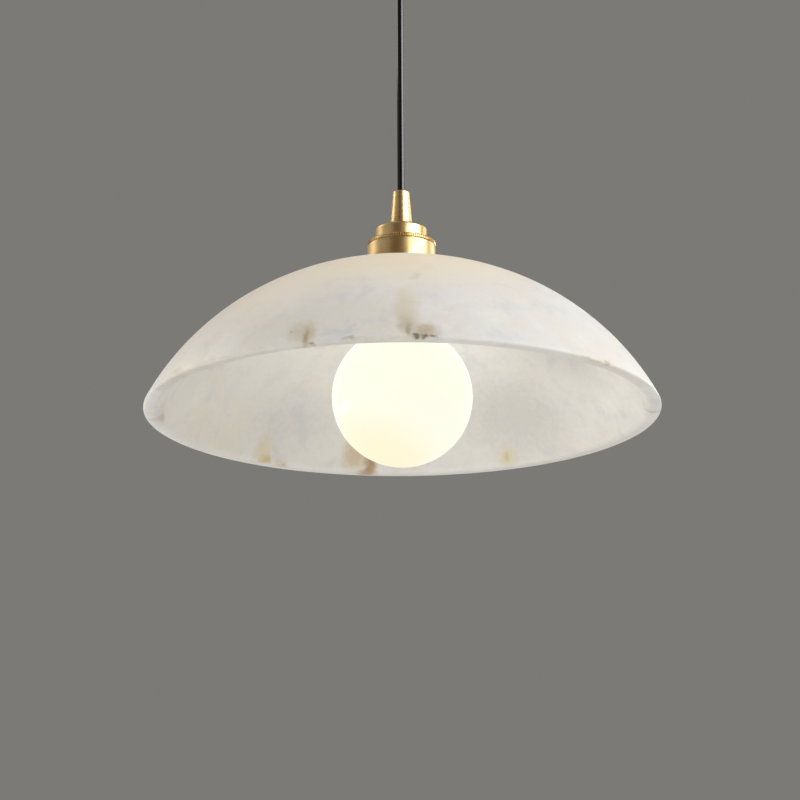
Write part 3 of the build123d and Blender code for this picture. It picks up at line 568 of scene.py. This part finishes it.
# Stains in the stone, and painted shade on the near rim's underside: centre and reach in millimetres, turn
# about the centre in degrees, colour, share
stainsAndRimShade = [
    {"at": (0, -90, -285), "reach": (110, 90, 56), "turn": 0, "colour": "#F8E9CC", "share": 0.75},
    {"at": (-75, -95, -305), "reach": (70, 70, 50), "turn": 0, "colour": "#F8ECD8", "share": 0.6},
    {"at": (82, 112, -325), "reach": (66, 62, 48), "turn": 0, "colour": "#BDBBB8", "share": 0.42},
    {"at": (-70, 110, -332), "reach": (60, 50, 34), "turn": 0, "colour": "#C4C2BE", "share": 0.3},
    {"at": (-58, -160, -348), "reach": (9, 14, 20), "turn": -20, "colour": "#CFC4AC", "share": 0.7},
    {"at": (-60.5, -163, -347), "reach": (2.8, 9, 19), "turn": -20, "colour": "#8F8568", "share": 0.85},
    {"at": (-64, -160, -346), "reach": (14, 14, 13), "turn": -22, "colour": "#D2C6AC", "share": 0.6},
    {"at": (-56, -163, -357), "reach": (3.4, 8, 2.2), "turn": -18, "colour": "#77725F", "share": 0.85},
    {"at": (-68, -155, -346), "reach": (1.4, 6, 1.8), "turn": -24, "colour": "#A59A80", "share": 0.6},
    {"at": (3, -169, -345), "reach": (8, 14, 12), "turn": 0, "colour": "#BBB09A", "share": 0.7},
    {"at": (4.5, -170, -350), "reach": (3, 12, 9), "turn": 0, "colour": "#8E8670", "share": 0.75},
    {"at": (14, -169, -352), "reach": (13, 14, 10), "turn": 6, "colour": "#B9A98A", "share": 0.75},
    {"at": (3, -158, -334), "reach": (12, 26, 40), "turn": 0, "colour": "#D9CFB4", "share": 0.65},
    {"at": (9.5, -171, -355.5), "reach": (4.2, 6, 2.4), "turn": 0, "colour": "#655C48", "share": 0.9},
    {"at": (14, -172, -356), "reach": (3, 6, 2.6), "turn": 0, "colour": "#5F5744", "share": 0.85},
    {"at": (19, -171, -355.5), "reach": (3.4, 6, 2.2), "turn": 0, "colour": "#75694F", "share": 0.85},
    {"at": (9, -133, -303), "reach": (5, 10, 6), "turn": 0, "colour": "#CFC7B7", "share": 0.5},
    {"at": (-32, -171, -356), "reach": (7, 6, 2), "turn": -10, "colour": "#A9A08C", "share": 0.6},
    {"at": (130, -117, -356), "reach": (5, 7, 5), "turn": 48, "colour": "#BF9C5C", "share": 0.9},
    {"at": (133, -114, -354), "reach": (6, 6, 4), "turn": 49, "colour": "#EBD6A8", "share": 0.7},
    {"at": (119, -128, -357), "reach": (17, 5, 1.4), "turn": 43, "colour": "#BFAE8C", "share": 0.7},
    {"at": (-101, 124, -350), "reach": (11, 14, 20), "turn": 39, "colour": "#DCCBA6", "share": 0.5},
    {"at": (-100, 130, -356), "reach": (7, 9, 6), "turn": 39, "colour": "#CFB06C", "share": 0.65},
    {"at": (-87, 138, -358), "reach": (11, 8, 4), "turn": 34, "colour": "#D2B474", "share": 0.7},
    {"at": (-34, 152, -345), "reach": (15, 16, 28), "turn": 15, "colour": "#D0BE9A", "share": 0.8},
    {"at": (-24, 159, -352), "reach": (7, 12, 14), "turn": 10, "colour": "#A98650", "share": 0.8},
    {"at": (-26, 163, -357), "reach": (10, 10, 4), "turn": 10, "colour": "#A58858", "share": 0.6},
    {"at": (77, 142, -352), "reach": (12, 14, 11), "turn": -28, "colour": "#DCD3AC", "share": 0.6},
    {"at": (77, 143, -351), "reach": (3, 8, 5), "turn": -28, "colour": "#C2BA84", "share": 0.5},
    {"at": (-164, 12, -357), "reach": (12, 16, 5), "turn": 86, "colour": "#B9A888", "share": 0.45},
    {"at": (-165, -4, -353), "reach": (10, 18, 12), "turn": 90, "colour": "#D8CCB4", "share": 0.45},
    {"at": (162, -14, -354), "reach": (1.8, 8, 2.4), "turn": 85, "colour": "#AD8B5C", "share": 0.65},
    {"at": (167, -5, -356), "reach": (1.8, 8, 2.4), "turn": 88, "colour": "#C5A062", "share": 0.7},
    {"at": (164, 7, -356), "reach": (1.8, 9, 2.2), "turn": 92, "colour": "#DDB896", "share": 0.6},
    # These four faint grey-tan streaks lie along the near rim's flat underside: partly a real grey vein line,
    # partly painted shade where that face looks down
    {"at": (-151, -80, -357), "reach": (13, 42, 5), "turn": 28, "colour": "#A39B7E", "share": 0.3},
    {"at": (-124, -116, -358), "reach": (12, 50, 4.4), "turn": 43, "colour": "#B3AB92", "share": 0.28},
    {"at": (-88, -145, -358), "reach": (10, 46, 4), "turn": 59, "colour": "#C4BBA4", "share": 0.3},
    {"at": (-30, -168, -358), "reach": (10, 60, 3), "turn": 80, "colour": "#CBC3B0", "share": 0.35},
]


def alabaster():
    # Clouds, milky veils and cool patches bent along each other, a fine grain over them, then the stains and
    # the painted rim shade
    material, tree, shader, place = newMaterial("honed alabaster")
    warpSource = addNode(tree, "ShaderNodeTexNoise", Vector=place, Scale=1 / stone["warpSize"], Detail=5.0,
                         Roughness=0.6).outputs["Color"]
    centred = addNode(tree, "ShaderNodeVectorMath", {"operation": "SUBTRACT"}, n0=warpSource,
                      n1=(0.5, 0.5, 0.5))
    reach = addNode(tree, "ShaderNodeVectorMath", {"operation": "SCALE"}, n0=centred.outputs[0],
                    Scale=2 * stone["warpReach"])
    warped = addNode(tree, "ShaderNodeVectorMath", {"operation": "ADD"}, n0=place,
                     n1=reach.outputs[0]).outputs[0]
    clouds = addNode(tree, "ShaderNodeTexNoise", Vector=warped, Scale=1 / stone["cloudSize"], Detail=5.0,
                     Roughness=0.55).outputs[0]
    patches = addNode(tree, "ShaderNodeTexNoise", Vector=warped, Scale=1 / stone["patchSize"], Detail=6.0,
                      Roughness=0.6, Distortion=0.4).outputs[0]
    grain = addNode(tree, "ShaderNodeTexNoise", Vector=place, Scale=1 / stone["grainSize"], Detail=3.0,
                    Roughness=0.6).outputs[0]
    milk = addNode(tree, "ShaderNodeTexNoise", Vector=warped, Scale=1 / stone["milkSize"], Detail=4.0,
                   Roughness=0.6).outputs[0]
    tone = layOver(tree, colour(stone["base"]), clouds, 0.40, 0.70, 0.6, stone["warm"])
    tone = layOver(tree, tone, patches, 0.50, 0.75, 0.6, stone["cool"])
    tone = layOver(tree, tone, milk, 0.50, 0.72, 0.6, stone["milk"])
    tone = layOver(tree, tone, grain, 0.35, 0.75, 0.16, stone["cool"])
    for mark in stainsAndRimShade:
        tone = addStainOrRimShade(tree, warped, grain, tone, mark)
    setSocket(tree, shader, "Base Color", tone)
    varyRoughness(tree, shader, patches, 0.3, 0.7, stone["leastRough"], stone["mostRough"])
    setSocket(tree, shader, "IOR", stone["ior"])
    setSocket(tree, shader, "Subsurface Weight", stone["glowShare"])
    setSocket(tree, shader, "Subsurface Radius", stone["glowReach"])
    setSocket(tree, shader, "Subsurface Scale", stone["glowDepth"])
    pores = addNode(tree, "ShaderNodeBump", Height=grain, Strength=stone["poreStrength"],
                    Distance=stone["poreDepth"])
    setSocket(tree, shader, "Normal", pores.outputs[0])
    return material


markEdge = {"grainShare": 0.8, "evenShare": 0.6, "fullAt": 0.85}  # how ragged it is, how soon it is full


# Lays one stain, or one streak of painted rim shade, as a ragged ball of colour
def addStainOrRimShade(tree, place, grain, tone, mark):
    centre = [part * mm for part in mark["at"]]
    local = addNode(tree, "ShaderNodeMapping", {"vector_type": "TEXTURE"}, Vector=place, Location=centre,
                    Rotation=(0, 0, math.radians(mark["turn"])),
                    Scale=[part * mm for part in mark["reach"]])
    ball = addNode(tree, "ShaderNodeTexGradient", {"gradient_type": "SPHERICAL"}, Vector=local.outputs[0])
    depth = addNode(tree, "ShaderNodeMath", {"operation": "MULTIPLY_ADD"}, n0=grain,
                    n1=markEdge["grainShare"], n2=markEdge["evenShare"])
    depth = addNode(tree, "ShaderNodeMath", {"operation": "MULTIPLY"}, n0=depth.outputs[0],
                    n1=ball.outputs["Fac"])
    return layOver(tree, tone, depth.outputs[0], 0.0, markEdge["fullAt"], mark["share"], mark["colour"])


# Satin brass: turned and brushed round its axis, so its highlights stretch into soft upright bands.
# Real brush lines are finer than a tenth of a millimetre; they are drawn coarser so that they show.
brass = {
    "colour": "#DFC691", "deep": "#CBAA6D", "brushPitch": 0.22 * mm, "patina": 20 * mm,
    "leastRough": 0.24, "mostRough": 0.36, "stretch": 0.5, "brushStrength": 0.03, "brushDepth": 0.04 * mm,
}


def satinBrass():
    material, tree, shader, place = newMaterial("turned satin brass")
    split = addNode(tree, "ShaderNodeSeparateXYZ", Vector=place).outputs
    radius = addNode(tree, "ShaderNodeMath", {"operation": "POWER"}, n0=split[0], n1=2.0)
    radius = addNode(tree, "ShaderNodeMath", {"operation": "MULTIPLY_ADD"}, n0=split[1], n1=split[1],
                     n2=radius.outputs[0])
    radius = addNode(tree, "ShaderNodeMath", {"operation": "SQRT"}, n0=radius.outputs[0])
    ringed = addNode(tree, "ShaderNodeCombineXYZ", X=radius.outputs[0], Y=0.0, Z=split[2]).outputs[0]
    lines = addNode(tree, "ShaderNodeTexNoise", Vector=ringed, Scale=1 / brass["brushPitch"], Detail=3.0,
                    Roughness=0.7).outputs[0]
    cloud = addNode(tree, "ShaderNodeTexNoise", Vector=place, Scale=1 / brass["patina"], Detail=4.0,
                    Roughness=0.5).outputs[0]
    tone = layOver(tree, colour(brass["colour"]), cloud, 0.35, 0.7, 1.0, brass["deep"])
    tone = layOver(tree, tone, lines, 0.3, 0.7, 0.14, brass["deep"])
    setSocket(tree, shader, "Base Color", tone)
    setSocket(tree, shader, "Metallic", 1.0)
    varyRoughness(tree, shader, lines, 0.2, 0.8, brass["leastRough"], brass["mostRough"])
    setSocket(tree, shader, "Anisotropic", brass["stretch"])
    tangent = addNode(tree, "ShaderNodeTangent", {"direction_type": "RADIAL", "axis": "Z"})
    setSocket(tree, shader, "Tangent", tangent.outputs[0])
    brushed = addNode(tree, "ShaderNodeBump", Height=lines, Strength=brass["brushStrength"],
                      Distance=brass["brushDepth"])
    setSocket(tree, shader, "Normal", brushed.outputs[0])
    return material


# The grain of the plain finishes
plain = {"metalRelief": 0.06, "relief": 0.08, "depth": 0.1 * mm}


def plainMetal(name, main, second, roughness, blotch):
    # A faintly clouded metal; blotch is the clouds' width in metres
    material, tree, shader, place = newMaterial(name)
    cloud = addNode(tree, "ShaderNodeTexNoise", Vector=place, Scale=1 / blotch, Detail=5.0,
                    Roughness=0.6).outputs[0]
    fine = addNode(tree, "ShaderNodeTexNoise", Vector=place, Scale=1 / (blotch * 0.12), Detail=3.0,
                   Roughness=0.6).outputs[0]
    setSocket(tree, shader, "Base Color", layOver(tree, colour(main), cloud, 0.3, 0.7, 1.0, second))
    setSocket(tree, shader, "Metallic", 1.0)
    varyRoughness(tree, shader, fine, 0.3, 0.7, roughness - 0.06, roughness + 0.08)
    grained = addNode(tree, "ShaderNodeBump", Height=fine, Strength=plain["metalRelief"],
                      Distance=plain["depth"])
    setSocket(tree, shader, "Normal", grained.outputs[0])
    return material


def plainPlastic(name, main, second, roughness, blotch, relief=plain["relief"]):
    # The same for what isn't metal; relief is how far the grain stands out
    material, tree, shader, place = newMaterial(name)
    cloud = addNode(tree, "ShaderNodeTexNoise", Vector=place, Scale=1 / blotch, Detail=4.0,
                    Roughness=0.6).outputs[0]
    fine = addNode(tree, "ShaderNodeTexNoise", Vector=place, Scale=1 / (blotch * 0.1), Detail=3.0,
                   Roughness=0.6).outputs[0]
    setSocket(tree, shader, "Base Color", layOver(tree, colour(main), cloud, 0.3, 0.7, 1.0, second))
    varyRoughness(tree, shader, fine, 0.3, 0.7, roughness - 0.05, roughness + 0.07)
    grained = addNode(tree, "ShaderNodeBump", Height=fine, Strength=relief, Distance=plain["depth"])
    setSocket(tree, shader, "Normal", grained.outputs[0])
    return material


# Globe: opal glass lit from inside, a little warmer at its lowest point
globe = {
    "radius": 47.5 * mm, "glass": "#77756C", "bright": "#E5E7D8", "edge": "#E6DAB6", "strength": 0.9,
    "warmSide": (-0.3, -0.2, -0.93), "warmFrom": 0.55, "warmTo": 1.05, "roughness": 0.12,
    "light": 0.085, "lightColour": "#FFFBF4", "lightGap": 1 * mm,
}
globe["centre"] = (0, 0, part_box("bulb_globe")[0].z + globe["radius"])


def addBulbLight():
    # The glass glows by itself; this lamp, just larger than the globe, throws its light on the stone
    data = bpy.data.lights.new("bulbLight", "POINT")
    data.energy = globe["light"]
    data.color = colour(globe["lightColour"])[:3]
    data.shadow_soft_size = globe["radius"] + globe["lightGap"]
    data.use_soft_falloff = False
    lamp = bpy.data.objects.new("bulbLight", data)
    bpy.context.scene.collection.objects.link(lamp)
    lamp.visible_camera = lamp.visible_glossy = False
    lamp.location = globe["centre"]
    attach(lamp, "bulb")


def opalGlass():
    # White flashed inside and smooth outside: no bulb shows through, only an even glow and a clean edge
    material, tree, shader, place = newMaterial("lit opal glass")
    centre = Vector(globe["centre"])
    away = addNode(tree, "ShaderNodeVectorMath", {"operation": "SUBTRACT"}, n0=place, n1=centre)
    slope = addNode(tree, "ShaderNodeVectorMath", {"operation": "DOT_PRODUCT"}, n0=away.outputs[0],
                    n1=Vector(globe["warmSide"]).normalized()).outputs["Value"]
    glow = layOver(tree, colour(globe["bright"]), slope, globe["warmFrom"] * globe["radius"],
                   globe["warmTo"] * globe["radius"], 1.0, globe["edge"])
    setSocket(tree, shader, "Base Color", colour(globe["glass"]))
    setSocket(tree, shader, "Roughness", globe["roughness"])
    setSocket(tree, shader, "Emission Color", glow)
    setSocket(tree, shader, "Emission Strength", globe["strength"])
    return material


def blackSheath():
    # Soft pvc drawn through a die: deep black with one clear bright streak along it
    material, tree, shader, place = newMaterial("extruded black pvc sheath")
    fine = addNode(tree, "ShaderNodeTexNoise", Vector=place, Scale=1 / cord["grainSize"], Detail=3.0,
                   Roughness=0.6).outputs[0]
    tone = layOver(tree, colour(cord["colour"]), fine, 0.3, 0.7, 1.0, cord["pale"])
    setSocket(tree, shader, "Base Color", tone)
    varyRoughness(tree, shader, fine, 0.3, 0.7, cord["leastRough"], cord["mostRough"])
    setSocket(tree, shader, "IOR", cord["ior"])
    setSocket(tree, shader, "Specular IOR Level", cord["shine"])
    drawn = addNode(tree, "ShaderNodeBump", Height=fine, Strength=cord["grainStrength"],
                    Distance=cord["grainDepth"])
    setSocket(tree, shader, "Normal", drawn.outputs[0])
    return material


def earthSheath():
    # Two colours side by side, as on every earth core
    material, tree, shader, place = newMaterial("green and yellow core")
    split = addNode(tree, "ShaderNodeSeparateXYZ", Vector=place).outputs
    half = addNode(tree, "ShaderNodeMath", {"operation": "GREATER_THAN"}, n0=split[1], n1=0.0).outputs[0]
    green, yellow = colour("#3E8C3A"), colour("#E3C92E")
    tone = addNode(tree, "ShaderNodeMix", inColour, n0=half, n6=green, n7=yellow)
    setSocket(tree, shader, "Base Color", tone.outputs[2])
    setSocket(tree, shader, "Roughness", 0.4)
    return material


def makeMaterials():
    # The note beside a plain finish says how it looks
    return {
        "alabaster": alabaster(),
        "satin_brass": satinBrass(),
        "brass_fixings": plainMetal("plain turned brass", "#CDA85C", "#B8924A", 0.32, 4 * mm),  # dull gold
        "zinc_steel": plainMetal("zinc plated steel", "#B9BCC0", "#A2A6AC", 0.36, 6 * mm),  # cool, mottled
        "black_cord": blackSheath(),
        "black_rubber": plainPlastic("moulded rubber", "#17171A", "#1E1E20", 0.6, 3 * mm),  # matt black
        "cork": plainPlastic("pressed cork", "#A67C4F", "#7E5A35", 0.85, 3 * mm, 0.6),  # dry, speckled
        "porcelain": plainPlastic("glazed porcelain", "#F3F1EA", "#ECE9DF", 0.14, 10 * mm, 0.03),  # wet shine
        "white_nylon": plainPlastic("moulded nylon", "#EDECE6", "#E2E0D8", 0.45, 5 * mm),  # waxy white
        "brown_core": plainPlastic("brown pvc core", "#5A3219", "#4A2913", 0.4, 3 * mm),  # soft sheen
        "blue_core": plainPlastic("blue pvc core", "#1F57B0", "#184A9A", 0.4, 3 * mm),  # soft sheen
        "earth_core": earthSheath(),
        "opal_glass": opalGlass(),
        "nickel_cap": plainMetal("nickel plated brass", "#CFCBC2", "#B9B4AA", 0.22, 5 * mm),  # warm, bright
        "black_glass": plainPlastic("vitrified black glass", "#0E0E10", "#17161A", 0.12, 4 * mm),  # glossy
        "tin_contact": plainMetal("tin solder", "#BDBDBB", "#9FA09F", 0.4, 2 * mm),  # dull, lumpy
        "heat_spreader": plainMetal("die cast aluminium", "#D2D4D6", "#BEC0C3", 0.45, 4 * mm),  # pale, satin
        "circuit_board": plainPlastic("white solder resist", "#E8E9E3", "#DADBD4", 0.35, 4 * mm),  # eggshell
        "led_phosphor": plainPlastic("phosphor silicone", "#F2D24A", "#E8C23A", 0.3, 1 * mm),  # yellow gel
        "capacitor_sleeve": plainPlastic("shrunk sleeve", "#1B1B26", "#242430", 0.3, 3 * mm),  # tight, dark
    }


slotOf = {part["node"]: part["material_slot"] for part in frame["record"]["subparts"]}
alabasterShade = makeStone()
print("stone turned,", len(alabasterShade.data.polygons), "faces")
addBulbLight()
finished = [
    alabasterShade, blackCord, makeMilledRing(), makeShadeRing(), makeCollar(), makeSleeve(), makeBulbCap(),
    makeJamNut("lampJamNut", "lamp_jam_nut", "lamp"),
    makeJamNut("ceilingJamNut", "ceiling_jam_nut", "ceiling_fitting"),
    makeLocknut("lampLocknut", "lamp_locknut", "lamp"),
    makeLocknut("ceilingLocknut", "ceiling_locknut", "ceiling_fitting"),
    makeNipple("lampNipple", "lamp_nipple", "lamp"),
    makeNipple("ceilingNipple", "ceiling_nipple", "ceiling_fitting"),
]
print("metal pieces turned")

materials = makeMaterials()
for name, slotName in slotOf.items():
    node = frame["nodes"][name]
    node.data.materials.clear()
    node.data.materials.append(materials[slotName])
for piece in finished:
    piece.data.materials.append(materials[piece["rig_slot"]])
print("materials made")
